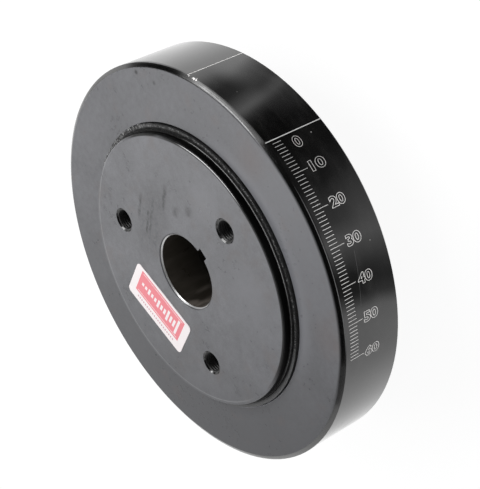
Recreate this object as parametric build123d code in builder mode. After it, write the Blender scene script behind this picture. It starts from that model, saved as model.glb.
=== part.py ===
from build123d import *
import os

os.makedirs("parts", exist_ok=True)

# A harmonic balancer: a steel hub that presses onto the nose of a crankshaft, and a heavy
# inertia ring that rides on it through a squeezed ring of rubber. +Z points out of the
# front face, where the belt pulley bolts on. The origin is on the bore's axis, in the plane
# of the sleeve's end, which seats against the timing gear. The keyway lies towards +X, and
# angles are counter-clockwise seen from the front. All sizes are in millimetres.

# ---- driving dimensions ----
outer_dia = 171.5
ring_width = 29.0
bore_dia = 31.6
sleeve_dia = 47.6
sleeve_reach = 26.0
joint_dia = 117.2
rubber_thickness = 2.4
hub_proud = 4.6

# ---- hub ----
web_thickness = 18.0
rim_wall = 7.5
rim_setback = 1.0
rim_chamfer = 0.8
dish_fillet = 3.0
edge_break = 0.3
bore_chamfer = 0.9
seal_lead_length = 3.0
seal_lead_depth = 1.2
key_width = 4.76
key_floor = 18.8
bolt_circle_dia = 80.6
bolt_count = 3
thread_dia = 9.52
thread_mouth_dia = 10.7

# ---- rubber joint ----
crown_height = 1.0
crown_length = 14.0
land_rise = 0.9
land_corner = 0.4
bead_radius = 0.8
ring_lip_chamfer = 0.9
lip_cover = 0.5
rear_bulge = 0.4

# ---- inertia ring ----
front_chamfer_depth = 1.0
front_chamfer_width = 1.9
rear_chamfer = 1.0

# ---- timing scale, cut into the ring's outside ----
scale_degrees = 60
zero_angle = 9.0
long_mark_step = 10
second_line_angle = 39.0
mark_inset = 3.2
short_mark = 4.0
long_mark = 6.9
mark_width = 0.28
line_width = 0.4
groove_depth = 0.15

# ---- sticker ----
label_length = 37.6
label_width = 19.4
label_thickness = 0.2
label_corner = 2.0
label_centre = (-33.4, -2.6)
label_turn = 13.0

# ---- worked out from the above ----
outer_radius = outer_dia / 2
hub_radius = joint_dia / 2
ring_inner_radius = hub_radius + rubber_thickness
ring_rear = sleeve_reach
ring_front = ring_rear + ring_width
hub_front = ring_front + hub_proud
rim_rear = ring_rear + rim_setback
web_rear = hub_front - web_thickness
land_height = ring_front + land_rise
land_edge = ring_inner_radius + lip_cover
lip_height = ring_front - ring_lip_chamfer
crown_middle = (ring_rear + ring_front) / 2
crown_low = crown_middle - crown_length / 2
crown_high = crown_middle + crown_length / 2


def joint_wall(radius, low, high):
    """Draw one side of the rubber joint, with the crown that stops the ring from walking off."""
    Line((radius, low), (radius, crown_low))
    ThreePointArc(
        (radius, crown_low), (radius + crown_height, crown_middle), (radius, crown_high)
    )
    Line((radius, crown_high), (radius, high))


def corner_arc(centre, radius):
    """Draw a quarter of a circle, from straight above its centre to straight outside it."""
    reach = radius * 0.5**0.5
    ThreePointArc(
        (centre[0], centre[1] + radius),
        (centre[0] + reach, centre[1] + reach),
        (centre[0] + radius, centre[1]),
    )


def mark_outlines(count, first_angle, last_angle, width):
    """Draw the ends of evenly spaced grooves across the rim, between two angles."""
    with PolarLocations(
        outer_radius, count, first_angle, last_angle - first_angle, endpoint=True
    ):
        Rectangle(2 * groove_depth, width)


# Hub: one turned piece, with the seal sleeve, a web and the rim that carries the rubber.
with BuildPart() as hub:
    with BuildSketch(Plane.XZ):
        with BuildLine():
            Polyline(
                (0, 0),
                (sleeve_dia / 2 - seal_lead_depth, 0),
                (sleeve_dia / 2, seal_lead_length),
                (sleeve_dia / 2, web_rear),
                (hub_radius - rim_wall, web_rear),
                (hub_radius - rim_wall, rim_rear),
                (hub_radius, rim_rear),
            )
            joint_wall(hub_radius, rim_rear, hub_front - edge_break)
            Polyline(
                (hub_radius, hub_front - edge_break),
                (hub_radius - edge_break, hub_front),
                (0, hub_front),
                (0, 0),
            )
        make_face()
    revolve(axis=Axis.Z)
    dish_corners = hub.edges().filter_by(GeomType.CIRCLE).filter_by_position(
        Axis.Z, web_rear - 0.01, web_rear + 0.01
    )
    fillet(dish_corners, dish_fillet)
    rear_inner_edge = (
        hub.edges()
        .filter_by(GeomType.CIRCLE)
        .filter_by_position(Axis.Z, rim_rear - 0.01, rim_rear + 0.01)
        .sort_by(SortBy.RADIUS)[0]
    )
    chamfer(rear_inner_edge, rim_chamfer)

    with Locations(Plane.XY.offset(hub_front)):
        Hole(bore_dia / 2)
    bore_edges = hub.edges().filter_by(
        lambda edge: edge.geom_type == GeomType.CIRCLE and abs(edge.radius - bore_dia / 2) < 0.01
    )
    chamfer(bore_edges, bore_chamfer)

    with BuildSketch():
        Rectangle(key_floor, key_width, align=(Align.MIN, Align.CENTER))
    extrude(amount=hub_front, mode=Mode.SUBTRACT)

    with Locations(Plane.XY.offset(hub_front)):
        with PolarLocations(bolt_circle_dia / 2, bolt_count):
            CounterSinkHole(thread_dia / 2, thread_mouth_dia / 2, counter_sink_angle=90)
hub.part.label = "hub"
export_step(hub.part, "parts/hub.step")

# Rubber: squeezed in between hub and ring. Its rear end bulges. Its front end stands proud as a
# flat land, with a round bead against the hub's wall and a crevice at the ring's lip.
with BuildPart() as elastomer_ring:
    with BuildSketch(Plane.XZ):
        with BuildLine():
            joint_wall(hub_radius, rim_rear, land_height + bead_radius)
            corner_arc((hub_radius, land_height), bead_radius)
            Line((hub_radius + bead_radius, land_height), (land_edge - land_corner, land_height))
            corner_arc((land_edge - land_corner, land_height - land_corner), land_corner)
            Polyline(
                (land_edge, land_height - land_corner),
                (land_edge, lip_height + lip_cover),
                (ring_inner_radius, lip_height),
            )
            joint_wall(ring_inner_radius, rim_rear, lip_height)
            ThreePointArc(
                (hub_radius, rim_rear),
                (hub_radius + rubber_thickness / 2, rim_rear - rear_bulge),
                (ring_inner_radius, rim_rear),
            )
        make_face()
    revolve(axis=Axis.Z)
elastomer_ring.part.label = "elastomer_ring"
export_step(elastomer_ring.part, "parts/elastomer_ring.step")

# Inertia ring: turned steel, with the timing scale engraved behind its front edge.
with BuildPart() as inertia_ring:
    with BuildSketch(Plane.XZ):
        with BuildLine():
            joint_wall(ring_inner_radius, ring_rear + ring_lip_chamfer, lip_height)
            Polyline(
                (ring_inner_radius, lip_height),
                (ring_inner_radius + ring_lip_chamfer, ring_front),
                (outer_radius - front_chamfer_width, ring_front),
                (outer_radius, ring_front - front_chamfer_depth),
                (outer_radius, ring_rear + rear_chamfer),
                (outer_radius - rear_chamfer, ring_rear),
                (ring_inner_radius + ring_lip_chamfer, ring_rear),
                (ring_inner_radius, ring_rear + ring_lip_chamfer),
            )
        make_face()
    revolve(axis=Axis.Z)

    with BuildSketch(Plane.XY.offset(ring_front - mark_inset)):
        mark_outlines(
            scale_degrees + 1, zero_angle, zero_angle - scale_degrees, mark_width
        )
    extrude(amount=-short_mark, mode=Mode.SUBTRACT)

    with BuildSketch(Plane.XY.offset(ring_front - mark_inset - short_mark)):
        mark_outlines(
            scale_degrees // long_mark_step + 1,
            zero_angle,
            zero_angle - scale_degrees,
            mark_width,
        )
    extrude(amount=short_mark - long_mark, mode=Mode.SUBTRACT)

    with BuildSketch(Plane.XY.offset(ring_rear)):
        mark_outlines(2, zero_angle, second_line_angle, line_width)
    extrude(amount=ring_width, mode=Mode.SUBTRACT)
inertia_ring.part.label = "inertia_ring"
export_step(inertia_ring.part, "parts/inertia_ring.step")

# Sticker on the hub's face.
with BuildPart() as label:
    with BuildSketch(Plane.XY.offset(hub_front)):
        with Locations(Location((*label_centre, 0), (0, 0, label_turn))):
            RectangleRounded(label_width, label_length, label_corner)
    extrude(amount=label_thickness)
label.part.label = "label"
export_step(label.part, "parts/label.step")
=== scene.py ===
# %% [markdown]
# # A harmonic balancer for the front of a crankshaft
# A keyed steel hub presses onto the crankshaft. A heavy inertia ring rides on it through a
# squeezed ring of rubber, and soaks up the shaft's twisting vibration.
# The turned steel, the rubber and the sticker come from the CAD frame and keep their exact
# size. This lesson adds what a drawing leaves out: cut threads, the filled timing scale with
# its numbers, the ragged end of the rubber, and the finish of every surface.
# Everything is in metres, with +Z out of the front face and the keyway towards +X. Angles run
# counter-clockwise seen from the front, and start at the keyway.

# %% Load the CAD frame
import math

import bmesh
import bpy
from mathutils import Matrix, Vector, noise


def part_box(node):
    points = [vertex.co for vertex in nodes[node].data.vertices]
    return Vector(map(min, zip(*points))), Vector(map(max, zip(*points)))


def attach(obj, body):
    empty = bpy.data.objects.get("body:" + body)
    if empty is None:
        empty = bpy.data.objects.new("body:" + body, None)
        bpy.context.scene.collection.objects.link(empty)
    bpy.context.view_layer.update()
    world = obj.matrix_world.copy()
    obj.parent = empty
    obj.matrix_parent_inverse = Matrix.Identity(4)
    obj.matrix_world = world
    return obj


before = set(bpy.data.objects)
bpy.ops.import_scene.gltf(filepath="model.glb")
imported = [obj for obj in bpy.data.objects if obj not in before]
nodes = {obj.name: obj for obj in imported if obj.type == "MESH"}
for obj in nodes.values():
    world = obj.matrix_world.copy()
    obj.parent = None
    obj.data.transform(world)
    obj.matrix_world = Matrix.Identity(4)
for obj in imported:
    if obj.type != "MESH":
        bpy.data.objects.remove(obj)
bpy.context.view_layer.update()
print("nodes:", sorted(nodes))

# %% [markdown]
# ## Sizes that the new pieces share
# The new pieces have to sit on the CAD parts, so the outsides of the ring and hub are read
# from the frame, to the micrometre. What a box can't tell, such as the radius at which the
# rubber begins, is written here once.

# %% Shared sizes
MM = 0.001
MICROMETRE_DIGITS = 6
MERGE_DISTANCE = 1e-6
ring_low, ring_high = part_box("inertia_ring")
RIM_RADIUS = round(ring_high[0], MICROMETRE_DIGITS)
RING_REAR = round(ring_low[2], MICROMETRE_DIGITS)
RING_FRONT = round(ring_high[2], MICROMETRE_DIGITS)
HUB_FRONT = round(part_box("hub")[1][2], MICROMETRE_DIGITS)
HUB_RADIUS = 58.6 * MM
WEB_REAR = 41.6 * MM
BOLT_CIRCLE = 40.3 * MM
BOLT_TURNS = (0, 120, 240)
THREAD_RADIUS = 4.76 * MM
ZERO_ANGLE = 9.0
SECOND_LINE_ANGLE = 39.0
print("ring: radius", RIM_RADIUS, "from", RING_REAR, "to", RING_FRONT, "hub front:", HUB_FRONT)

# %% [markdown]
# ## Helpers for modelling
# An operator acts on all that is selected, and the CAD nodes are selected after loading. So
# each piece starts with an empty selection. A finished piece's place is in its mesh, and its
# object stands at the origin, as a CAD node's does.

# %% Selection and finishing helpers


def start_piece():
    """Leave edit mode and let go of everything."""
    if bpy.context.object and bpy.context.object.mode != "OBJECT":
        bpy.ops.object.mode_set(mode="OBJECT")
    bpy.ops.object.select_all(action="DESELECT")


def hold(piece):
    """Make one piece the only selected and active one."""
    start_piece()
    piece.select_set(True)
    bpy.context.view_layer.objects.active = piece


def rename(piece, name):
    """Name a piece and its mesh."""
    piece.name = piece.data.name = name


def apply_place(piece):
    """Move a piece's place into its mesh, so that its object is back at the origin."""
    hold(piece)
    bpy.ops.object.transform_apply(location=True, rotation=True, scale=True)


def settle(piece):
    """Turn normals outwards and fix the piece to the rigid body."""
    hold(piece)
    bpy.ops.object.mode_set(mode="EDIT")
    bpy.ops.mesh.select_all(action="SELECT")
    bpy.ops.mesh.remove_doubles(threshold=MERGE_DISTANCE)
    bpy.ops.mesh.normals_make_consistent(inside=False)
    bpy.ops.object.mode_set(mode="OBJECT")
    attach(piece, "root")
    print(f"{piece.name}: {len(piece.data.polygons)} faces")


# %% [markdown]
# ## Threads in the three pulley holes
# On the real hub a tap cuts a fine helical thread in each hole. The CAD holes are plain bores
# at the thread's outside diameter, so the thread is a ridge that stands inwards from the wall.
# A spin can't climb, so the ridge's cross-section goes through a Screw modifier, one pitch a
# turn. Then both ends are cut off flat, as the tap's run-out and the countersink leave them.

# %% One thread, then its copies
THREAD_PITCH = 1.058 * MM
THREAD_DEPTH = 0.56 * MM
THREAD_ROOT = 0.04 * MM
THREAD_TOP = HUB_FRONT - 0.62 * MM
THREAD_BOTTOM = WEB_REAR + 0.25 * MM
BASE_SHARE = 0.98
CREST_SHARE = 0.16
STEPS_A_TURN = 32


def pick(piece, wanted):
    """In edit mode, select the vertices whose place passes the test, and the faces between."""
    mesh = bmesh.from_edit_mesh(piece.data)
    for vertex in mesh.verts:
        vertex.select_set(bool(wanted(vertex.co)))
    mesh.select_flush_mode()
    bmesh.update_edit_mesh(piece.data)


def turned_copy(piece, name, degrees, wider=1.0):
    """Copy a piece with its own mesh, widened along Y and turned about the bore's axis."""
    copy = piece.copy()
    copy.data = piece.data.copy()
    rename(copy, name)
    copy.data.transform(
        Matrix.Rotation(math.radians(degrees), 4, "Z") @ Matrix.Diagonal((1, wider, 1, 1))
    )
    bpy.context.scene.collection.objects.link(copy)
    return copy


def cut_thread():
    """Model the thread of the hole on the +X side, with its root a little inside the wall."""
    start_piece()
    bpy.ops.mesh.primitive_plane_add(
        size=1,
        location=(THREAD_RADIUS + (THREAD_ROOT - THREAD_DEPTH) / 2, 0, 0),
        rotation=(math.pi / 2, 0, 0),
    )
    thread = bpy.context.object
    rename(thread, "hole_thread_a")
    thread.scale = (THREAD_DEPTH + THREAD_ROOT, THREAD_PITCH * BASE_SHARE, 1)
    apply_place(thread)
    bpy.ops.object.mode_set(mode="EDIT")
    pick(thread, lambda co: co.x < THREAD_RADIUS - THREAD_DEPTH / 2)
    bpy.ops.transform.resize(value=(1, 1, CREST_SHARE), center_override=(THREAD_RADIUS, 0, 0))
    bpy.ops.object.mode_set(mode="OBJECT")
    climb = thread.modifiers.new("climb", "SCREW")
    climb.screw_offset = THREAD_PITCH
    climb.iterations = math.ceil((THREAD_TOP - THREAD_BOTTOM) / THREAD_PITCH) + 2
    climb.steps = climb.render_steps = STEPS_A_TURN
    climb.use_merge_vertices = True
    climb.merge_threshold = MERGE_DISTANCE
    bpy.ops.object.modifier_apply(modifier="climb")
    thread.location = (BOLT_CIRCLE, 0, THREAD_BOTTOM - THREAD_PITCH)
    apply_place(thread)
    bpy.ops.object.mode_set(mode="EDIT")
    for height, above in ((THREAD_TOP, True), (THREAD_BOTTOM, False)):
        bpy.ops.mesh.select_all(action="SELECT")
        bpy.ops.mesh.bisect(
            plane_co=(0, 0, height),
            plane_no=(0, 0, 1),
            clear_outer=above,
            clear_inner=not above,
            use_fill=True,
            threshold=1e-7,
        )
    bpy.ops.object.mode_set(mode="OBJECT")
    bpy.ops.object.shade_smooth_by_angle(angle=math.radians(40))
    return thread


hole_threads = [cut_thread()]
for letter, degrees in zip("bc", BOLT_TURNS[1:]):
    hole_threads.append(turned_copy(hole_threads[0], f"hole_thread_{letter}", degrees))
for hole_thread in hole_threads:
    settle(hole_thread)

# %% [markdown]
# ## White filling in the degree marks
# The marks are real grooves in the CAD ring. On such rings the grooves are wiped with white
# paint, which stays in the middle of the groove and leaves its edges black. One mark is a
# block, pressed in along its top, and the rest are copies turned to their own degree. The
# scale runs from 0 to 60, with a longer mark at each ten, and two lines cross the whole rim.
# The cut marks get a little wider along the scale, so each copy is wider than the last.

# %% Mark by mark
SCALE_DEGREES = 60
LONG_MARK_STEP = 10
SCALE_FRONT = RING_FRONT - 3.2 * MM
SHORT_MARK = 4.0 * MM
LONG_MARK = 6.9 * MM
LINE_INSET = 1.0 * MM
MARK_WIDTH = 0.148 * MM
LINE_WIDTH = 0.34 * MM
WIDENING = 0.006
PAINT_TOP = RIM_RADIUS - 0.012 * MM
PAINT_BOTTOM = RIM_RADIUS - 0.21 * MM
PAINT_HOLLOW = 0.018 * MM


def pick_faces(piece, wanted):
    """In edit mode, select the faces whose normal passes the test."""
    mesh = bmesh.from_edit_mesh(piece.data)
    for face in mesh.faces:
        face.select_set(bool(wanted(face.normal)))
    mesh.select_flush_mode()
    bmesh.update_edit_mesh(piece.data)


def painted_mark(front, rear, width):
    """Model one mark's filling, between two heights on the rim at angle zero."""
    start_piece()
    bpy.ops.mesh.primitive_cube_add(
        size=1, location=((PAINT_TOP + PAINT_BOTTOM) / 2, 0, (front + rear) / 2)
    )
    mark = bpy.context.object
    mark.scale = (PAINT_TOP - PAINT_BOTTOM, width, front - rear)
    apply_place(mark)
    bpy.ops.object.mode_set(mode="EDIT")
    pick_faces(mark, lambda normal: normal.x > 0.9)
    bpy.ops.mesh.inset(thickness=width / 4)
    bpy.ops.transform.translate(value=(-PAINT_HOLLOW, 0, 0))
    bpy.ops.object.mode_set(mode="OBJECT")
    return mark


def join_pieces(pieces, name):
    """Join several meshes into one piece."""
    hold(pieces[0])
    for piece in pieces[1:]:
        piece.select_set(True)
    bpy.ops.object.join()
    rename(pieces[0], name)
    return pieces[0]


short_pattern = painted_mark(SCALE_FRONT, SCALE_FRONT - SHORT_MARK, MARK_WIDTH)
long_pattern = painted_mark(SCALE_FRONT, SCALE_FRONT - LONG_MARK, MARK_WIDTH)
line_pattern = painted_mark(RING_FRONT - LINE_INSET, RING_REAR + LINE_INSET, LINE_WIDTH)
marks = []
for degree in range(1, SCALE_DEGREES + 1):
    pattern = short_pattern if degree % LONG_MARK_STEP else long_pattern
    wider = 1 + WIDENING * degree
    marks.append(turned_copy(pattern, f"mark_{degree}", ZERO_ANGLE - degree, wider))
for angle in (ZERO_ANGLE, SECOND_LINE_ANGLE):
    marks.append(turned_copy(line_pattern, f"line_{angle:.0f}", angle))
for pattern in (short_pattern, long_pattern, line_pattern):
    bpy.data.objects.remove(pattern)
scale_filling = join_pieces(marks, "scale_filling")
settle(scale_filling)

# %% [markdown]
# ## Outlined numbers
# The numbers beside every tenth mark are scribed as outlines with a fine point, one by one:
# their distance from the edge varies a little, and the strokes are broader from 20 on.
# Blender's own text gives the outlines: a text without filling, whose edge gets a thin bevel,
# is a row of bent wires. They become a mesh, whose long straight runs are subdivided, because
# a straight run can't follow the rim and would sink into it. Then they are pressed flat and
# wrapped round the rim, with their tops towards the zero line.

# %% Number by number
TEXT_SIZE = 6.4 * MM
OUTLINE_GROWTH = 0.20 * MM
FINE_STROKE = 0.20 * MM
BROAD_STROKE = 0.245 * MM
LONGEST_RUN = 0.6 * MM
STROKE_SINK = 0.004 * MM
STROKE_FLATNESS = 0.13
DIGIT_HEIGHT = 4.5 * MM
PAIR_WIDTH = 7.3 * MM
PAIR_SHIFT = 0.05
NUMBER_DEPTHS = {10: 15.0, 20: 14.8, 30: 14.8, 40: 14.7, 50: 14.4, 60: 14.4}


def outlined_text(words, stroke):
    """Model a text as a mesh of bent wires, with its long runs subdivided."""
    start_piece()
    bpy.ops.object.text_add()
    text = bpy.context.object.data
    text.body = words
    text.size = TEXT_SIZE
    text.align_x = "CENTER"
    text.align_y = "CENTER"
    text.fill_mode = "NONE"
    text.offset = OUTLINE_GROWTH
    text.bevel_depth = stroke / 2
    text.bevel_resolution = 1
    text.resolution_u = 4
    bpy.ops.object.convert(target="MESH")
    wires = bpy.context.object
    bpy.ops.object.mode_set(mode="EDIT")
    bpy.ops.mesh.select_all(action="SELECT")
    bpy.ops.mesh.remove_doubles(threshold=MERGE_DISTANCE)
    for _ in range(4):
        mesh = bmesh.from_edit_mesh(wires.data)
        for edge in mesh.edges:
            edge.select_set(edge.calc_length() > LONGEST_RUN)
        if any(edge.select for edge in mesh.edges):
            bpy.ops.mesh.subdivide(number_cuts=1)
    bpy.ops.object.mode_set(mode="OBJECT")
    return wires


def outlined_number(words, degrees, middle, width, height, stroke):
    """Model one number, wrapped round the rim with its middle at an angle and a height."""
    number = outlined_text(words, stroke)
    rename(number, f"number_{words}")
    low = Vector(map(min, *(vertex.co for vertex in number.data.vertices)))
    high = Vector(map(max, *(vertex.co for vertex in number.data.vertices)))
    for vertex in number.data.vertices:
        across = (vertex.co.x - (low.x + high.x) / 2) * width / (high.x - low.x)
        up = (vertex.co.y - (low.y + high.y) / 2) * height / (high.y - low.y)
        radius = RIM_RADIUS - STROKE_SINK + STROKE_FLATNESS * vertex.co.z
        turn = math.radians(degrees) + up / RIM_RADIUS
        vertex.co = (radius * math.cos(turn), radius * math.sin(turn), middle - across)
    return number


numbers = [
    outlined_number(
        "0", ZERO_ANGLE - 2.9, RING_FRONT - 13.0 * MM, 3.8 * MM, 4.9 * MM, FINE_STROKE
    )
]
for degree, depth in NUMBER_DEPTHS.items():
    numbers.append(
        outlined_number(
            str(degree),
            ZERO_ANGLE - degree + PAIR_SHIFT,
            RING_FRONT - depth * MM,
            PAIR_WIDTH,
            DIGIT_HEIGHT,
            FINE_STROKE if degree < 20 else BROAD_STROKE,
        )
    )
scale_numbers = join_pieces(numbers, "scale_numbers")
settle(scale_numbers)

# %% [markdown]
# ## The rubber's visible end
# Pressed-in rubber never ends clean. Against the hub it leaves a thin, shiny lip, and towards
# the ring its skin is torn and rough. The CAD rubber has the round bead and the flat land, so
# two thin rings go on it: a lip along the bead, and a rough skin. Both start as a torus with
# as many segments as the operator allows. The lip only wavers a little. The skin is pressed
# flat and roughened vertex by vertex, and on one side it frays out over the ring.

# %% Lip and torn skin
MOST_SEGMENTS = 256
LIP_RADIUS = HUB_RADIUS + 0.52 * MM
LIP_HEIGHT = RING_FRONT + 1.55 * MM
LIP_THICKNESS = 0.13 * MM
LIP_WAVER = 0.08 * MM
WAVES = 9
SKIN_RADIUS = HUB_RADIUS + 1.9 * MM
SKIN_REACH = 1.0 * MM
SKIN_HEIGHT = RING_FRONT + 0.90 * MM
SKIN_FLATNESS = 0.10
SKIN_ROUGHNESS = 0.11 * MM
FRAYED_MIDDLE = 88
FRAYED_HALF = 24
FRAYED_FADE = 12


def shiny_lip():
    """Model the thin shiny lip along the bead that climbs the hub's wall."""
    start_piece()
    bpy.ops.mesh.primitive_torus_add(
        location=(0, 0, LIP_HEIGHT),
        major_segments=MOST_SEGMENTS,
        minor_segments=10,
        major_radius=LIP_RADIUS,
        minor_radius=LIP_THICKNESS,
    )
    bead = bpy.context.object
    apply_place(bead)
    for vertex in bead.data.vertices:
        turn = math.atan2(vertex.co.y, vertex.co.x)
        spot = Vector((WAVES * math.cos(turn), WAVES * math.sin(turn), 0))
        vertex.co.z += LIP_WAVER * noise.noise(spot)
    bpy.ops.object.shade_smooth()
    rename(bead, "rubber_bead")
    return bead


def torn_skin():
    """Model the torn skin on the flat land between the bead and the ring."""
    start_piece()
    bpy.ops.mesh.primitive_torus_add(
        major_segments=MOST_SEGMENTS,
        minor_segments=16,
        major_radius=SKIN_RADIUS,
        minor_radius=SKIN_REACH,
    )
    skin = bpy.context.object
    for vertex in skin.data.vertices:
        turn = math.atan2(vertex.co.y, vertex.co.x)
        out = math.hypot(vertex.co.x, vertex.co.y) - SKIN_RADIUS
        spot = Vector((vertex.co.x, vertex.co.y, 0)) / MM
        torn = noise.fractal(spot * 1.9, 0.8, 2.0, 3)
        wide = 0.90 + 0.12 * noise.noise(spot * 0.45)
        past_frayed = abs(math.degrees(turn) - FRAYED_MIDDLE) - FRAYED_HALF
        frayed = min(1, max(0, 1 - past_frayed / FRAYED_FADE))
        if out > 0:
            wide += frayed * (0.22 + 0.75 * noise.noise(spot * 1.25))
        radius = SKIN_RADIUS - 0.05 * MM + out * wide
        height = SKIN_HEIGHT + SKIN_FLATNESS * vertex.co.z + SKIN_ROUGHNESS * torn
        vertex.co = (radius * math.cos(turn), radius * math.sin(turn), height)
    rename(skin, "rubber_skin")
    return skin


rubber_bead = shiny_lip()
rubber_skin = torn_skin()
settle(rubber_bead)
settle(rubber_skin)

# %% [markdown]
# ## Writing finishes as expressions
# A finish is a pattern worked out from where a point is on the part. Written as nodes, even a
# short formula takes a screenful. So a small class wraps a node's socket, and arithmetic on it
# adds the Math nodes. A mask is a wire that is 1 on some surface and 0 elsewhere, and two
# masks are united with `|`, which takes the larger. Colours are mixed with a Mix node, because
# a Math node turns them grey.

# %% Wires and the board that they run on
# A Mix node has sockets for every kind of data. These are the ones for colours.
MIX_MASK = 0
MIX_FIRST = 6
MIX_SECOND = 7
MIX_RESULT = 2


class Wire:
    """One socket of a node, on which arithmetic adds Math nodes."""

    def __init__(self, board, socket):
        self.board = board
        self.socket = socket

    def math(self, operation, *others):
        """Add a Math node whose first operand is this wire."""
        return self.board.maths(operation, self, *others)

    def __add__(self, other):
        return self.math("ADD", other)

    __radd__ = __add__

    def __sub__(self, other):
        return self.math("SUBTRACT", other)

    def __rsub__(self, other):
        return self.board.maths("SUBTRACT", other, self)

    def __mul__(self, other):
        return self.math("MULTIPLY", other)

    __rmul__ = __mul__

    def __truediv__(self, other):
        return self.math("DIVIDE", other)

    def __or__(self, other):
        """Unite two masks."""
        return self.math("MAXIMUM", other)

    def __abs__(self):
        return self.math("ABSOLUTE")

    def rise(self, low, high):
        """0 below low, 1 above high, with a soft step between them; low may be the larger."""
        return self.board.node(
            "ShaderNodeMapRange",
            {"interpolation_type": "SMOOTHSTEP"},
            {"Value": self, "From Min": low, "From Max": high},
        )

    def between(self, low, high, soft):
        """1 between two values, with soft edges."""
        return self.rise(low - soft, low + soft) * self.rise(high + soft, high - soft)


class Board:
    """A node tree, to which one method adds every kind of node."""

    def __init__(self, tree):
        self.tree = tree

    def node(self, kind, settings=None, sockets=None, out=0):
        """Add a node: its type, its settings, the values or links of its sockets, its output."""
        made = self.tree.nodes.new(kind)
        for name, value in (settings or {}).items():
            if name == "stops":
                while len(made.color_ramp.elements) < len(value):
                    made.color_ramp.elements.new(1)
                for element, (spot, colour) in zip(made.color_ramp.elements, value):
                    element.position = spot
                    element.color = colour
            else:
                setattr(made, name, value)
        for key, value in (sockets or {}).items():
            self.plug(made.inputs[key], value)
        return Wire(self, made.outputs[out])

    def plug(self, socket, value):
        """Link a wire to a socket, or set the socket's own value."""
        if isinstance(value, Wire):
            self.tree.links.new(value.socket, socket)
        else:
            socket.default_value = value

    def maths(self, operation, *operands):
        """Add a Math node on wires and numbers."""
        return self.node("ShaderNodeMath", {"operation": operation}, dict(enumerate(operands)))

    def mix(self, mask, first, second):
        """A colour between two others."""
        return self.node(
            "ShaderNodeMix",
            {"data_type": "RGBA"},
            {MIX_MASK: mask, MIX_FIRST: first, MIX_SECOND: second},
            out=MIX_RESULT,
        )

    def outputs(self, kind, sockets=None):
        """Add a node, and give all its outputs as wires, by name."""
        made = self.node(kind, {}, sockets).socket.node
        return {output.name: Wire(self, output) for output in made.outputs}

    def show(self, shader, output="Material Output"):
        """Make a shader what the surface or the world shows."""
        self.plug(self.tree.nodes[output].inputs["Surface"], shader)


# %% [markdown]
# ## A finish
# A finish is a material with a board of its own. It knows the point's place in millimetres,
# and from that its radius and angle about the bore's axis, which suit turned parts. Noise at
# a size in millimetres gives the grain, and bump gives it depth. Colours are laid on in
# coats, one over the other, and the shader shows the last.

# %% The finish maker


class Finish(Board):
    """A material. `skin` is its Principled shader, and `colour` its colour so far."""

    def __init__(self, name):
        self.material = bpy.data.materials.new(name)
        self.material.use_nodes = True
        super().__init__(self.material.node_tree)
        self.skin = self.tree.nodes["Principled BSDF"]
        self.colour = None
        self.place = self.node(
            "ShaderNodeVectorMath",
            {"operation": "SCALE"},
            {"Vector": self.node("ShaderNodeTexCoord", out="Object"), "Scale": 1 / MM},
        )
        parts = self.outputs("ShaderNodeSeparateXYZ", {"Vector": self.place})
        self.x, self.y, self.z = parts["X"], parts["Y"], parts["Z"]
        self.radius = (self.x * self.x + self.y * self.y).math("SQRT")

    def angle(self):
        """The angle about the bore's axis, in degrees."""
        return self.y.math("ARCTAN2", self.x) * math.degrees(1)

    def coat(self, mask, colour, over=None):
        """Lay a colour over another, or over the colour so far, where the mask is 1."""
        self.colour = self.mix(mask, over or self.colour, colour)
        self.plug(self.skin.inputs["Base Color"], self.colour)

    def set(self, **values):
        """Set or link the shader's sockets; an underscore stands for a space."""
        for name, value in values.items():
            self.plug(self.skin.inputs[name.replace("_", " ")], value)

    def grain(self, size, detail=3, vector=None, rough=0.5):
        """Noise from 0 to 1 whose lumps are about `size` millimetres wide."""
        return self.node(
            "ShaderNodeTexNoise",
            {},
            {
                "Vector": vector or self.place,
                "Scale": 1 / size,
                "Detail": detail,
                "Roughness": rough,
            },
        )

    def stretched(self, turn, factors):
        """The place in millimetres, turned about Z and stretched, for a long pattern."""
        return self.node(
            "ShaderNodeMapping",
            {"vector_type": "TEXTURE"},
            {"Vector": self.place, "Rotation": (0, 0, math.radians(turn)), "Scale": factors},
        )

    def spot(self, place, reach, soft):
        """1 near a place, fading out at `reach` millimetres from it."""
        away = self.node(
            "ShaderNodeVectorMath", {"operation": "DISTANCE"}, {0: self.place, 1: place}, "Value"
        )
        return away.rise(reach + soft, reach - soft)

    def bump(self, height, depth, strength=1.0, under=None):
        """Bump from a height of 0 to 1, `depth` millimetres deep, on top of another bump."""
        sockets = {"Height": height, "Distance": depth * MM, "Strength": strength}
        if under:
            sockets["Normal"] = under
        return self.node("ShaderNodeBump", {}, sockets)


def united(masks):
    """Unite several masks."""
    whole, *rest = masks
    for mask in rest:
        whole = whole | mask
    return whole


def grey(value, warm=0.0):
    """A grey, a little warm or cool."""
    return (value * (1 + warm), value, value * (1 - warm), 1)


def steel_black(value):
    """The faintly violet grey of blackened steel."""
    return (value * 0.99, value, value * 1.08, 1)


# %% [markdown]
# ## Satin black steel
# The hub and the ring's faces are turned, then blackened in a hot bath. Three sizes of noise
# make the coating uneven: clouds of a few centimetres, a mottle of a few millimetres and fine
# flecks. Together they vary the tone and the shine. A painted shade darkens the faces towards
# one side.

# %% What both steel finishes share


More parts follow.
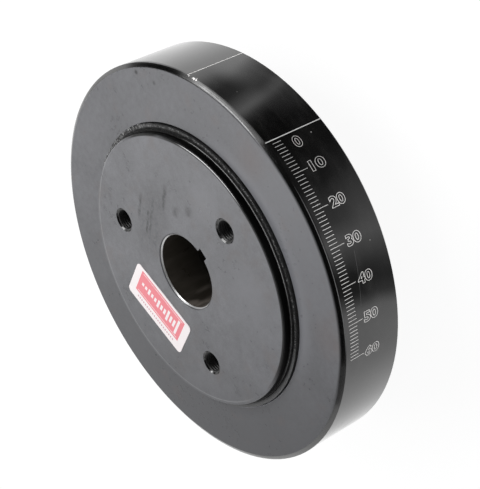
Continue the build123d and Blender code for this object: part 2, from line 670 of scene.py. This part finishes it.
class Satin(Finish):
    """Blackened steel, with its three grains and what they make of tone and shine."""

    def __init__(self, name, cloud, mottle, fleck):
        super().__init__(name)
        self.cloud = self.grain(cloud, 3)
        self.mottle = self.grain(mottle, 4)
        self.fleck = self.grain(fleck, 2)
        self.tone = self.cloud * 1.3 + self.mottle * 1.1 + self.fleck - 1.2
        self.shine = 0.31 + 0.14 * (self.cloud - 0.5) + 0.16 * (self.mottle - 0.5)

    def darker_side(self, start, end):
        """A painted shade rising across the face away from the keyway, between two distances."""
        return (self.x * 0.75 + self.y * 0.66).rise(start, end)

    def tool_rings(self, closeness, waver):
        """The fine wavering rings that a turning tool leaves, as a wave from -1 to 1."""
        return (self.radius * closeness + self.mottle * waver).math("SINE")


# %% [markdown]
# ## The hub's surfaces
# One material does the whole hub: where a point lies tells which surface it is on. A tapped
# hole's well and thread are dark, the bore and keyway are brown, and the ground sleeve is
# smoother. The front edge turns down to the rubber: on the keyway's side it has a painted
# shade with a painted highlight line in it, and on the far side a thin painted line of light.
# The side wall below it is painted near-black as shade.

# %% Hub: which surface is where
blackened = Satin("blackened_steel", cloud=19, mottle=3.2, fleck=0.55)
x, y, z, radius = blackened.x, blackened.y, blackened.z, blackened.radius
angle = blackened.angle()
cloud, mottle, fleck = blackened.cloud, blackened.mottle, blackened.fleck


def near_holes(reach):
    """1 closer than `reach` millimetres to the axis of one of the three pulley holes."""
    holes = []
    for degrees in BOLT_TURNS:
        dx = x - BOLT_CIRCLE / MM * math.cos(math.radians(degrees))
        dy = y - BOLT_CIRCLE / MM * math.sin(math.radians(degrees))
        holes.append((dx * dx + dy * dy).rise((reach + 0.02) ** 2, (reach - 0.04) ** 2))
    return holes[0] + holes[1] + holes[2]


front = z.rise(59.50, 59.57)
behind = 1 - front
in_web = behind * z.rise(40.0, 41.0)
well = near_holes(5.40) * in_web
threaded = near_holes(4.74) * in_web
wall = radius.rise(58.32, 58.40) * z.rise(59.36, 59.28) * in_web
keyway = x.between(14, 18.85, 0.05) * abs(y).rise(2.42, 2.36) * behind
bore = radius.rise(15.86, 15.80) | keyway
sleeve = radius.rise(24.4, 23.9) * z.rise(41.5, 40.5)

top = z.rise(59.25, 59.35)
highlight_arc = angle.between(6, 37, 5)
# Painted shade on the front edge's turn-down on the keyway's side, broken where the highlight
# runs.
edge_shade = radius.rise(57.05, 57.65) * top * angle.between(-78, 56, 12)
edge_shade = edge_shade * (1 - 0.85 * radius.between(57.85, 58.25, 0.1) * highlight_arc)
edge_shade = edge_shade | radius.rise(57.4, 57.9) * top * angle.between(50, 74, 6)
# Painted highlight lines on the front edge: a broad one near the keyway, a thin one on the far
# side.
edge_highlight = radius.between(57.95, 58.30, 0.1) * front * highlight_arc
far_place = radius - 1.3 * angle.rise(121, 84) * angle.rise(0, 60)
far_highlight = far_place.between(56.95, 57.40, 0.12) * z.rise(59.28, 59.34)
far_highlight = far_highlight * (1 - angle.between(-100, 80, 9))
print("hub surfaces:", len(blackened.tree.nodes), "nodes")

# %% [markdown]
# ## Smudges and bright edges on the hub
# Handling leaves long dark smudges between the bolt holes. Each is a streak in a grid that is
# turned to lie along them. The bore's chamfer was cut after blackening, so it is bright, with
# a fine dark line round it, and it is dimmer over part of its round, a painted shade. Paler
# patches on the face are a painted sheen.

# %% Hub: smudges, stains, bright cuts and painted light
SMUDGE_LEAN = math.radians(27)
# Where each smudge lies along and across the lean, its half length, half width and darkness.
SMUDGES = (
    (12.4, 31.2, 9.5, 0.8, 0.8),
    (10.5, 23.4, 18.0, 0.9, 0.7),
    (7.6, 25.6, 10.5, 0.7, 0.9),
    (26.1, 17.2, 8.5, 0.7, 0.9),
    (30.1, 2.7, 3.4, 2.2, 0.6),
    (24.7, 10.0, 3.4, 2.0, 0.6),
    (20.0, 20.0, 9.0, 0.6, 0.4),
    (3.0, 19.5, 8.0, 2.4, 0.5),
)
down = x * math.cos(SMUDGE_LEAN) + y * math.sin(SMUDGE_LEAN)
side = y * math.cos(SMUDGE_LEAN) - x * math.sin(SMUDGE_LEAN) + (mottle - 0.5) * 1.6
smudge = 0.32 * down.between(-7, 27, 6) * side.between(15, 31, 4)
for run, row, length, width, darkness in SMUDGES:
    streak = abs(down - run).rise(length, length * 0.35) * abs(side - row).rise(width + 0.9, 0.1)
    smudge = smudge | streak * darkness
smudge = smudge * (0.35 + 0.65 * blackened.grain(1.2, 3).rise(0.25, 0.68)) * front
# Paler patches on the face: a painted sheen where it catches more light.
pale = blackened.spot((37.0, 13.5, 59.6), 8, 5) * 0.5
pale = pale + blackened.spot((33, -20, 59.6), 9, 6) * 0.3
pale = pale + blackened.spot((29, -35, 59.6), 16, 12) * 0.4
stain = blackened.grain(11, 3).rise(0.54, 0.72) * front

bore_cut = radius.between(15.5, 16.72, 0.04) * z.rise(58.5, 58.6) * (1 - keyway) * behind
bore_edge = bore_cut * (1 - radius.rise(16.22, 16.32))
# Dimmer between -152 and -98 degrees: a painted shade on the cut chamfer.
bore_edge = bore_edge * (0.85 - 0.40 * angle.between(-152, -98, 8))
bore_dark_line = bore_cut * radius.between(16.30, 16.50, 0.04)
# The cut bore chamfer, joined with the painted highlight lines on the front edge.
bright = bore_edge | far_highlight * 0.13 | edge_highlight * 0.75
print("smudges:", len(SMUDGES))

# %% [markdown]
# ## Colour and shine of the hub
# The colours go on one over the other, from the plain coating to the bright cuts and the
# painted highlights. Where an edge is painted nearly black as shade, it is also metallic,
# because a black metal gives back no sheen.

# %% Hub: layer by layer
blackened.coat(blackened.tone, steel_black(0.142), over=steel_black(0.078))
blackened.coat(pale, steel_black(0.150))
# Painted shade towards one side of the hub's face.
blackened.coat(blackened.darker_side(-10, -75) * 0.55, steel_black(0.055))
blackened.coat(stain * 0.22, (0.118, 0.092, 0.080, 1))
blackened.coat(smudge * 0.92, grey(0.012))
blackened.coat(well, grey(0.076))
blackened.coat(threaded, grey(0.045))
# The side wall and the edge's turn-down are painted near-black: painted shade.
blackened.coat(wall | edge_shade, grey(0.008))
blackened.coat(bore_dark_line * 0.8, grey(0.010))
scuff = blackened.grain(4.0, 5, blackened.stretched(0, (1, 1, 3))).rise(0.38, 0.72)
scuffed_end = y.rise(-3, -13) * z.rise(34, 50)
bore_brown = blackened.mix(
    scuff * (0.12 + 0.88 * scuffed_end), (0.022, 0.019, 0.015, 1), (0.150, 0.130, 0.115, 1)
)
blackened.coat(bore, bore_brown)
blackened.coat(bright, grey(0.62))
shine = blackened.shine + 0.16 * smudge - 0.12 * sleeve
face_marks = (blackened.tool_rings(14.0, 2.2) * 0.5 + 0.5) * (1 - well)
blackened.set(
    Metallic=bright * front.rise(1, 0) | wall | edge_shade | well,
    Roughness=shine * (1 - well) + 0.16 * well + 0.22 * threaded + 0.05 * stain,
    IOR=1.4,
    Normal=blackened.bump(
        face_marks * 0.35 + fleck * 0.30, 0.008, 0.30, blackened.bump(mottle, 0.04, 0.2)
    ),
)
print("hub finish:", len(blackened.tree.nodes), "nodes")

# %% [markdown]
# ## The inertia ring's surfaces
# The ring's faces have the same satin black. Its rim is finished much finer, and mirrors the
# room in a deep gloss black, with hazy streaks where it was wiped. The chamfer at the front is
# polished too. Knocks have left bright nicks, a bruise and a long fine scratch.

# %% Ring: surfaces and nicks
ring_black = Satin("ring_black", cloud=23, mottle=2.6, fleck=0.45)
x, y, z, radius = ring_black.x, ring_black.y, ring_black.z, ring_black.radius
angle = ring_black.angle()
cloud, mottle, fleck = ring_black.cloud, ring_black.mottle, ring_black.fleck
rim = radius.rise(83.95, 84.05)
chamfer = rim * z.rise(53.96, 54.04)
haze = ring_black.grain(9, 4, ring_black.stretched(20, (1, 2.5, 0.6)), 0.65).rise(0.45, 0.8)
# Each nick's angle, its distance behind the front face, its reach, softness and brightness.
NICKS = (
    (36.6, 0.8, 0.62, 0.30, 1.0),
    (25.7, 8.0, 0.22, 0.20, 0.6),
    (6.8, 20.6, 0.24, 0.20, 0.6),
    (-23.3, 21.6, 0.20, 0.20, 0.6),
    (35.6, 0.7, 0.42, 0.25, 0.9),
    (38.5, 1.1, 0.36, 0.25, 0.9),
    (35.9, 1.6, 0.30, 0.25, 0.9),
)


def on_rim(degrees, depth):
    """The place on the rim at an angle, some way behind the front face, in millimetres."""
    turn = math.radians(degrees)
    return Vector((85.7 * math.cos(turn), 85.7 * math.sin(turn), RING_FRONT / MM - depth))


nick = united(
    ring_black.spot(on_rim(degrees, depth), reach, soft) * brightness
    for degrees, depth, reach, soft, brightness in NICKS
)
nick = nick * ring_black.grain(0.9, 2).rise(0.36, 0.52)
bruise = ring_black.spot(on_rim(37.9, 1.0), 0.9, 0.4) * rim
scratch_line = z - (36.8 - 0.212 * angle)
scratch = abs(scratch_line).rise(0.10, 0.03) * angle.between(-37.3, -23.6, 0.4)
print("nicks:", len(NICKS))

# %% [markdown]
# ## The ring's front edge
# Along the edge between face and chamfer a thin dark line of painted shade runs beside a
# line of painted highlight, broken by grain, and both drift outwards along it. On the keyway's
# side the face is painted darker towards the edge. Further round, the chamfer's outer corner is
# painted dark, and so are parts of the chamfer and rim where its highlight should not reach:
# painted shade. On the far side the chamfer is darker.

# %% Ring: painted shade and highlights on the edges
drift = radius - (angle - 20) * 0.025
# Painted shade: a thin dark line along the face's edge, and on the keyway's side a darkening of
# the face towards it.
edge_shadow = drift.between(83.28, 83.72, 0.10) * angle.between(8, 50, 5)
edge_shadow = edge_shadow | radius.rise(82.4, 83.8) * (1 - rim) * angle.between(-64, 10, 9)
edge_shadow = edge_shadow * z.rise(54.70, 54.80)
# Painted highlight on the chamfer beside that line, and a thinner one along the rim's front
# corner.
chamfer_highlight = drift.between(83.96, 84.34, 0.12) * z.rise(54.3, 54.4) * angle.between(12, 33, 4)
chamfer_highlight = chamfer_highlight * ring_black.grain(7, 3).rise(0.20, 0.55)
corner_highlight = z.between(54.02, 54.14, 0.04) * radius.rise(85.3, 85.4) * angle.between(-46, -7, 6)
chamfer_highlight = chamfer_highlight | corner_highlight * 0.6

# Painted shade, made black by the metallic below: the outer corner, parts of the chamfer where
# its highlight should not reach, and a band of rim. On the far side the chamfer is only darker.
corner_shade = (z + (angle - 42) * 0.05).rise(52.95, 53.90) * rim * angle.between(41, 64, 3)
outer_chamfer_shade = radius.rise(84.9, 85.6) * chamfer * angle.between(9, 34, 4)
chamfer_end_shade = angle.between(11, 16.5, 2) * 0.35 + angle.between(32, 41, 2) * 0.2
darker_far_chamfer = angle.rise(72, 88) + angle.rise(-95, -115)
corner_shadow = z.between(53.5, 53.85, 0.08) * rim * angle.between(-30, -8, 6)
dark_chamfer_bands = united(
    (
        corner_shade * 0.82,
        outer_chamfer_shade * 0.7,
        chamfer * chamfer_end_shade,
        chamfer * darker_far_chamfer * 0.6,
        corner_shadow * 0.5,
    )
)
print("ring edges:", len(ring_black.tree.nodes), "nodes")

# %% [markdown]
# ## The ring's faces
# Round the joint the face is painted a little paler on the keyway's side, as painted light, and
# that side of the face has a painted sheen. The lip that meets the rubber is painted black
# there, as the shade in the crevice, and on the far side only its pits are; from -66 degrees
# round it is painted lighter, against its shade. The face has two dark specks and some brownish
# stains.

# %% Ring: painted light and shade, stains and pits
dark_spots = ring_black.spot((39.8, 71.8, 55), 0.9, 0.6)
dark_spots = dark_spots + ring_black.spot((46.3, 62.8, 55), 0.8, 0.6) * 0.7
stains = ring_black.spot((72.6, 13.1, 55), 6, 6) + ring_black.spot((54.6, -56.3, 55), 7, 6) * 0.8
stains = (stains + ring_black.grain(9, 3).rise(0.56, 0.70) * 0.5) * (1 - rim)
lip = radius.rise(61.98, 61.88) * z.rise(53.9, 54.05)
lip_pits = ring_black.grain(0.9, 2).rise(0.54, 0.47) * ring_black.grain(3, 2).rise(0.32, 0.5)
pitted_arc = angle.between(62, 115, 10)
# Painted shade: the lip is black where the crevice's shade falls; between 62 and 115 degrees
# only its pits are.
lip_crevice_shade = lip * (1 - pitted_arc * (1 - lip_pits)) * angle.between(-54, 130, 6)
# Painted light: the lip is lighter from -66 degrees round, against its shade.
lip_painted_light = lip * angle.rise(-54, -66)
# Painted light near the joint on the keyway's side.
painted_light_by_joint = radius.rise(70.5, 62.5) * angle.between(-62, 22, 16) * (1 - lip)
# Painted sheen over the keyway's side of the face.
painted_sheen_side = angle.between(-46, 8, 14)
print("ring places:", len(ring_black.tree.nodes), "nodes")

# %% [markdown]
# ## Colour and shine of the ring
# The gloss is a clear coat over the rim, which the edges painted dark as shade lack. A bump with
# a round profile softens the chamfer's two corners, so that its highlight is a soft line. Black
# places are metallic, as on the hub, so the painted shade there gives back no sheen.

# %% Ring: layer by layer
ring_black.coat(ring_black.tone, steel_black(0.126), over=steel_black(0.072))
# Painted shade towards one side of the ring's face.
ring_black.coat(ring_black.darker_side(10, -75) * 0.75, steel_black(0.055))
ring_black.coat(painted_sheen_side * 0.5, steel_black(0.150))
ring_black.coat(painted_light_by_joint, steel_black(0.160))
ring_black.coat(lip, steel_black(0.22))
ring_black.coat(lip_painted_light, steel_black(0.34))
ring_black.coat(lip_crevice_shade, grey(0.004))
ring_black.coat(stains * 0.30, (0.118, 0.084, 0.074, 1))
ring_black.coat(dark_spots * 0.8, grey(0.006))
gloss = ring_black.mix(haze * (1 - chamfer), grey(0.0016, 0.02), grey(0.012, 0.03))
ring_black.coat(rim, gloss)
ring_black.coat(bruise, grey(0.002))
ring_black.coat(edge_shadow * 0.85, grey(0.004))
ring_black.coat(chamfer_highlight * 0.75, grey(0.36))
ring_black.coat(scratch * 0.5, grey(0.16))
ring_black.coat(nick, grey(0.72, 0.02))
face_shine = ring_black.shine + 0.15 * dark_spots
rim_shine = 0.13 + 0.13 * haze
across_chamfer = (radius - 84.8) / 0.95
rounding = (1 - across_chamfer * across_chamfer) * chamfer
tool_place = ring_black.node(
    "ShaderNodeCombineXYZ", {}, {"X": radius, "Y": angle * 0.02, "Z": 0.0}
)
tool_lines = ring_black.grain(0.30, 2, tool_place)
face_marks = ring_black.tool_rings(12.0, 2.0) * 0.17 + 0.5 + fleck * 0.30
off_rim = 1 - rim * 0.9
ring_black.set(
    Metallic=edge_shadow * 0.85 | lip_crevice_shade | dark_chamfer_bands | nick * 0.8,
    Roughness=face_shine * (1 - rim) + rim_shine * rim + 0.2 * nick + 0.08 * chamfer,
    IOR=1.36,
    Coat_Weight=rim * (1 - dark_chamfer_bands) * (1 - edge_shadow),
    Coat_Roughness=0.10,
    Normal=ring_black.bump(
        face_marks * off_rim + chamfer * tool_lines - nick * 0.5,
        0.010,
        0.30,
        ring_black.bump(mottle * off_rim, 0.04, 0.2, ring_black.bump(rounding, 0.10)),
    ),
)
print("ring finish:", len(ring_black.tree.nodes), "nodes")

# %% [markdown]
# ## Rubber
# Black rubber scatters little light and is grained all over. Where it was torn, loose crumbs
# catch the light as pale specks. The lip was pressed smooth; on the keyway's side it is painted
# pale grey as a highlight, and black elsewhere. Round the joint the rubber changes: where it
# frays it is painted pale as sheen and full of holes, it is paler in the groove beside that, and
# grey on the opposite side. The skin is painted black as shade beside the bead and at the
# crevice by the ring.

# %% Rubber finishes


def rubber(name, dark, pale, roughness, pitted):
    """A rubber between two greys, with some share of black pits and pale crumbs."""
    finish = Finish(name)
    grain = finish.grain(0.40, 3)
    lumps = finish.grain(1.6, 3)
    pits = finish.grain(0.42, 2).rise(0.52, 0.46) * lumps.rise(0.66, 0.46)
    crumbs = finish.grain(0.36, 2).rise(0.54, 0.60) * lumps.rise(0.38, 0.54)
    finish.coat(lumps, pale, over=dark)
    finish.coat(pits * pitted, grey(0.003))
    finish.coat(crumbs * pitted * 0.7, grey(0.30))
    finish.set(
        IOR=1.3,
        Roughness=roughness + 0.25 * (lumps - 0.5),
        Normal=finish.bump(grain, 0.08, 0.5, finish.bump(lumps, 0.2, 0.35)),
    )
    return finish


rubber_black = rubber("rubber_black", grey(0.004), grey(0.010), 0.62, 0.15)
# Paler grey on the rubber between 86 and 134 degrees.
rubber_black.coat(rubber_black.angle().between(86, 134, 5) * 0.9, grey(0.12))
rubber_black.set(Specular_IOR_Level=0.2)

rubber_torn = rubber("rubber_torn", grey(0.012), grey(0.060), 0.60, 1.0)
angle = rubber_torn.angle()
# Painted sheen: where the skin frays it is painted pale, with black holes.
painted_sheen_arc = angle.between(64, 122, 10)
# Grey between -128 and -60 degrees.
grey_arc = angle.between(-128, -60, 6)
# Painted shade: the skin is black beside the bead and at the crevice by the ring, except in the
# sheen and the grey arc.
bead_gap_shade = rubber_torn.radius.rise(60.25, 60.00) * (1 - angle.between(84, 130, 4))
bead_gap_shade = bead_gap_shade * (1 - 0.7 * angle.between(-128, -76, 8))
crevice_shade = rubber_torn.radius.rise(61.00, 61.12) * (1 - painted_sheen_arc) * (1 - grey_arc)
holes = rubber_torn.grain(0.90, 2).rise(0.53, 0.47) * rubber_torn.grain(2.4, 2).rise(0.30, 0.48)
pale_skin = rubber_torn.mix(rubber_torn.grain(0.8, 2).rise(0.42, 0.62), grey(0.03), grey(0.32))
pale_skin = rubber_torn.mix(holes, pale_skin, grey(0.003))
rubber_torn.coat(painted_sheen_arc * 0.9, pale_skin)
rubber_torn.coat(grey_arc * 0.9, grey(0.13))
rubber_torn.coat((bead_gap_shade | crevice_shade) * 0.92, grey(0.004))

# The lip's pale grey on the keyway's side is a painted highlight; elsewhere it is painted black,
# and metallic so it gives back no sheen.
rubber_lip_highlight = rubber("rubber_lip_highlight", grey(0.16), grey(0.46), 0.30, 0.0)
angle = rubber_lip_highlight.angle()
unlit_lip = 1 - angle.between(-34, 36, 6)
unlit_lip = unlit_lip - 0.35 * angle.between(-75, -34, 6) - 0.7 * angle.between(88, 134, 5)
rubber_lip_highlight.coat(unlit_lip, grey(0.008))
rubber_lip_highlight.set(Metallic=unlit_lip * 0.8)
for finish in (rubber_black, rubber_torn, rubber_lip_highlight):
    print(f"{finish.material.name}: {len(finish.tree.nodes)} nodes")

# %% [markdown]
# ## White paint in the scale
# The paint is a little dirty, and the black steel shows through it in places. It is thinnest
# round the zero.

# %% Scale paint
scale_paint = Finish("scale_paint")
wear = scale_paint.grain(0.6, 3).rise(0.52, 0.80)
dirt = scale_paint.grain(4, 2)
thin = scale_paint.angle().between(-7, 22, 6)
scale_paint.coat(dirt, grey(0.95, 0.02), over=grey(0.84, 0.02))
scale_paint.coat(wear * 0.25 + thin * 0.45, grey(0.30))
scale_paint.set(
    Roughness=0.45 + 0.2 * (dirt - 0.5),
    Normal=scale_paint.bump(scale_paint.grain(0.25, 2), 0.02, 0.4),
)
print("paint:", len(scale_paint.tree.nodes), "nodes")

# %% [markdown]
# ## The printed sticker
# The sticker is white vinyl with one pinkish red ink. Its design is a plain one: a red field
# with a thin white rule at top and bottom, bars that die away like a damped vibration, and a
# row of small dashes below. It is drawn by arithmetic on two measures, `along` and `across`,
# which run from the sticker's middle, in millimetres.

# %% Sticker print
LABEL_TURN = math.radians(13)
LABEL_X = -33.4
LABEL_Y = -2.6
EDGE = 0.06
BARS_END = 13.2
BAR_STEP = 2.2
BARS_MIDDLE = 1.7
DASHES_END = 13.0
DASH_STEP = 1.3
sticker_print = Finish("sticker_print")
dx = sticker_print.x - LABEL_X
dy = sticker_print.y - LABEL_Y
across = dx * math.cos(LABEL_TURN) + dy * math.sin(LABEL_TURN)
along = dy * math.cos(LABEL_TURN) - dx * math.sin(LABEL_TURN)


def numbered(start, step):
    """Cut the sticker's length into steps, and give the number of each."""
    return ((along + start) / step).math("FLOOR")


field = along.between(-15.0, 15.0, EDGE) * across.between(-4.9, 8.3, EDGE)
rules = across.between(7.1, 7.4, EDGE) + across.between(-4.0, -3.7, EDGE)
rules = rules * along.between(-13.8, 13.8, EDGE)
bar_number = numbered(BARS_END, BAR_STEP)
in_bar = (along + BARS_END) - bar_number * BAR_STEP
swing = (bar_number * 1.05).math("COSINE") * (4.3 * (bar_number * -0.13).math("EXPONENT"))
bars = in_bar.between(0.45, 1.75, EDGE)
bars = bars * (abs(swing) + 0.35 - abs(across - BARS_MIDDLE)).rise(-EDGE, EDGE)
bars = bars * along.between(-BARS_END, BARS_END, EDGE)
in_dash = (along + DASHES_END) - numbered(DASHES_END, DASH_STEP) * DASH_STEP
dashes = in_dash.between(0.2, 0.95, EDGE) * across.between(-7.5, -6.5, EDGE)
dashes = dashes * along.between(-DASHES_END, DASHES_END, EDGE)
ink = (field - (rules + bars)).rise(0.4, 0.6)
speck = sticker_print.grain(0.5, 2)
paper = sticker_print.mix(
    sticker_print.grain(6, 2), (0.86, 0.80, 0.80, 1), (0.92, 0.86, 0.86, 1)
)
red = sticker_print.mix(speck, (0.76, 0.20, 0.235, 1), (0.86, 0.25, 0.285, 1))
sticker_print.coat(ink, red, over=paper)
sticker_print.coat(dashes * 0.75, (0.55, 0.25, 0.30, 1))
sticker_print.set(
    Roughness=0.42 + 0.14 * (speck - 0.5) - 0.06 * ink,
    IOR=1.35,
    Normal=sticker_print.bump(ink * 0.6 + speck * 0.4, 0.012, 0.4),
)
print("sticker print:", len(sticker_print.tree.nodes), "nodes")

# %% [markdown]
# ## Finishes go on the pieces
# The CAD nodes come with one plain material each. It is swapped for a finish in the mesh's list
# of materials, and the shape stays untouched.

# %% Put the finishes on


def dress(piece, finish):
    """Give a piece one finish."""
    piece.data.materials.clear()
    piece.data.materials.append(finish.material)


dress(nodes["hub"], blackened)
dress(nodes["inertia_ring"], ring_black)
dress(nodes["elastomer_ring"], rubber_black)
dress(nodes["label"], sticker_print)
dress(scale_filling, scale_paint)
dress(scale_numbers, scale_paint)
dress(rubber_bead, rubber_lip_highlight)
dress(rubber_skin, rubber_torn)
for hole_thread in hole_threads:
    dress(hole_thread, blackened)
print("finishes:", sorted(material.name for material in bpy.data.materials if material.users))

# %% [markdown]
# ## Floor and sky
# The studio is white all round. The floor and the sky look the same to the camera and to
# mirror rays, so the gloss shows the same white room that is behind the part. The floor is
# part glow and part matt white, so that it is white in the open and still keeps the part's
# soft shadow.

# %% Floor and world
FLOOR_SIZE = 6
FLOOR_DROP = 0.3 * MM
bpy.ops.mesh.primitive_plane_add(size=FLOOR_SIZE, location=(0, 0, -FLOOR_DROP))
floor = bpy.context.object
floor.name = "floor"


def looked_at(board):
    """1 for the rays of the camera, of mirrors and of glass, which show the background."""
    path = board.outputs("ShaderNodeLightPath")
    looks = path["Is Camera Ray"] + path["Is Glossy Ray"] + path["Is Transmission Ray"]
    return looks.rise(0, 1)


studio_floor = Finish("studio_floor")
lighting = studio_floor.node("ShaderNodeBsdfDiffuse", {}, {"Color": grey(0.85)})
shaded = studio_floor.node("ShaderNodeBsdfDiffuse", {}, {"Color": grey(0.13)})
glow = studio_floor.node("ShaderNodeEmission", {}, {"Color": grey(1), "Strength": 0.92})
shown = studio_floor.node("ShaderNodeAddShader", {}, {0: shaded, 1: glow})
studio_floor.show(
    studio_floor.node(
        "ShaderNodeMixShader", {}, {0: looked_at(studio_floor), 1: lighting, 2: shown}
    )
)
dress(floor, studio_floor)

world = bpy.data.worlds.new("studio")
bpy.context.scene.world = world
world.use_nodes = True
world.node_tree.nodes.remove(world.node_tree.nodes["Background"])
sky = Board(world.node_tree)
air = sky.node("ShaderNodeBackground", {}, {"Color": (0.97, 0.98, 1.0, 1), "Strength": 0.36})
backdrop = sky.node("ShaderNodeBackground", {}, {"Color": grey(1), "Strength": 1.0})
sky.show(
    sky.node("ShaderNodeMixShader", {}, {0: looked_at(sky), 1: air, 2: backdrop}),
    "World Output",
)
print("floor and world:", floor.name, world.name)

# %% [markdown]
# ## Cards
# A gloss black part has no look of its own: it shows what stands round it. In a white room it
# would turn grey, so a studio puts up cards. One lies on the floor round the keyway's side:
# black near the keyway, with paler bands, and white towards its ends. Its outer part, which
# the front of the rim mirrors, has shades of its own. A black card hangs overhead, with two
# wings outside it on the far side. They are props of the studio and not of the part. Only
# mirror rays meet them, so they take no light from the part and aren't seen themselves.

# %% Four cards
OUTER_PART_FROM = 126
OUTER_PART_FULL = 142
CARD_STEPS = 96


def card(name, inner, outer, first, last, height, shades, outer_shades=None):
    """Lay a card that is a sector of a ring, between two radii and two angles.

    Shades are pairs of an angle and a grey. The outer part may have its own.
    """
    start_piece()
    bpy.ops.mesh.primitive_circle_add(vertices=3, radius=outer, fill_type="NOTHING")
    sheet = bpy.context.object
    bpy.ops.object.mode_set(mode="EDIT")
    bpy.ops.mesh.select_all(action="SELECT")
    bpy.ops.mesh.delete(type="VERT")
    mesh = bmesh.from_edit_mesh(sheet.data)
    turn = math.radians(first)
    ends = [
        mesh.verts.new((r * math.cos(turn), r * math.sin(turn), height)) for r in (inner, outer)
    ]
    mesh.edges.new(ends)
    bmesh.update_edit_mesh(sheet.data)
    bpy.ops.mesh.select_all(action="SELECT")
    bpy.ops.mesh.spin(
        steps=CARD_STEPS, angle=math.radians(first - last), center=(0, 0, 0), axis=(0, 0, 1)
    )
    bpy.ops.object.mode_set(mode="OBJECT")
    sheet.name = name
    sheet.visible_camera = False
    sheet.visible_diffuse = False
    sheet.visible_transmission = False
    sheet.visible_shadow = False
    paint = Finish(name)
    turned = paint.angle() / 360 + 0.5

    def shading(pairs):
        """A ramp of greys along the card."""
        stops = [((degrees + 180) / 360, grey(value)) for degrees, value in pairs]
        return paint.node("ShaderNodeValToRGB", {"stops": stops}, {"Fac": turned})

    colour = shading(shades)
    if outer_shades:
        outer_part = paint.radius.rise(OUTER_PART_FROM, OUTER_PART_FULL)
        colour = paint.mix(outer_part, colour, shading(outer_shades))
    # The card glows with these greys, and the gloss shows them as painted reflections.
    paint.show(paint.node("ShaderNodeEmission", {}, {"Color": colour, "Strength": 1.0}))
    dress(sheet, paint)
    print(f"{name}: {len(sheet.data.polygons)} faces")


LEFT_SHADES = ((-125, 0.94), (-112, 0.80), (-97, 0.80), (-83, 0.88), (-68, 0.86), (-60, 1.0))
RIGHT_SHADES = ((85, 1.0), (93, 0.92), (108, 0.84), (125, 0.94))
INNER_SHADES = (
    (-52, 1.0), (-47, 0.30), (-41, 0.18), (-36, 0.27), (-30, 0.62), (-25, 0.92), (-18, 0.66),
    (-10, 0.46), (-2, 0.15), (8, 0.06), (23, 0.06), (27, 0.14), (32, 0.24), (35.5, 0.60),
    (40, 0.27), (46, 0.42), (50, 0.66), (54, 1.0),
)
OUTER_SHADES = (
    (-53, 1.0), (-49, 0.40), (-46, 0.12), (-38, 0.12), (-31, 0.50), (-25, 0.90), (-18, 0.40),
    (-10, 0.30), (-3, 0.10), (8, 0.06), (23, 0.02), (29, 0.03), (33, 0.25), (36, 0.95),
    (39.5, 0.55), (44, 0.16), (50, 0.12), (55, 0.30), (60, 0.65), (66, 1.0),
)
BLACK = ((-180, 0.01), (180, 0.01))
DARK_GREY = ((-180, 0.30), (180, 0.30))
card(
    "floor_card",
    0.088,
    0.420,
    -125,
    125,
    0.0001,
    LEFT_SHADES + INNER_SHADES + RIGHT_SHADES,
    LEFT_SHADES + OUTER_SHADES + RIGHT_SHADES,
)
card("overhead_card", 0.0, 0.48, 0, 360, 0.60, BLACK)
card("left_wing", 0.48, 0.74, -172, -95, 0.60, DARK_GREY)
card("right_wing", 0.40, 0.80, 104, 122, 0.40, BLACK)

# %% [markdown]
# ## Lamps
# Four softboxes light it at a plain level. A large one behind is what the satin faces pick up
# as a broad sheen. One at the side runs as a bright streak along the front chamfer. A long
# narrow one between it and the keyway glints in the countersinks and on worn edges. A large
# low one on the keyway's side fills the shadows.

# %% Softboxes
AIMED_AT = Vector((0, 0, 0.04))


def softbox(name, azimuth, elevation, distance, size, energy):
    """Hang a lamp of some width and height that faces the part, at an angle round and above."""
    turn, rise = math.radians(azimuth), math.radians(elevation)
    out = Vector(
        (math.cos(rise) * math.cos(turn), math.cos(rise) * math.sin(turn), math.sin(rise))
    )
    lamp = bpy.data.lights.new(name, "AREA")
    lamp.shape = "RECTANGLE"
    lamp.size, lamp.size_y = size
    lamp.energy = energy
    holder = bpy.data.objects.new(name, lamp)
    holder.location = AIMED_AT + out * distance
    holder.rotation_euler = out.to_track_quat("Z", "Y").to_euler()
    bpy.context.scene.collection.objects.link(holder)
    print(f"{name}: {energy} W")


softbox("back_softbox", 153, 49, 1.2, (0.6, 0.6), 3.4)
softbox("side_softbox", 100, 57, 0.5, (0.24, 0.24), 0.65)
softbox("front_softbox", 66, 43, 0.5, (0.34, 0.15), 0.85)
softbox("fill_softbox", -28, 20, 1.2, (0.5, 0.5), 4.0)

# %% [markdown]
# ## Camera
# A short telephoto from the side of the keyway, rolled over so that the part seems to stand
# on its rim.

# %% Camera
FOCAL_LENGTH = 105.434
CAMERA_PLACE = (0.48684, -0.08902, 0.35011)
CAMERA_DEGREES = (-34.4774, 48.8352, -52.7575)
lens = bpy.data.cameras.new("camera")
lens.sensor_width = 36
lens.lens = FOCAL_LENGTH
lens.clip_start = 0.01
camera = bpy.data.objects.new("camera", lens)
camera.location = CAMERA_PLACE
camera.rotation_euler = [math.radians(degrees) for degrees in CAMERA_DEGREES]
bpy.context.scene.collection.objects.link(camera)
bpy.context.scene.camera = camera
bpy.context.scene.view_settings.view_transform = "Standard"
print("camera:", round(camera.location.length, 3), "m away")
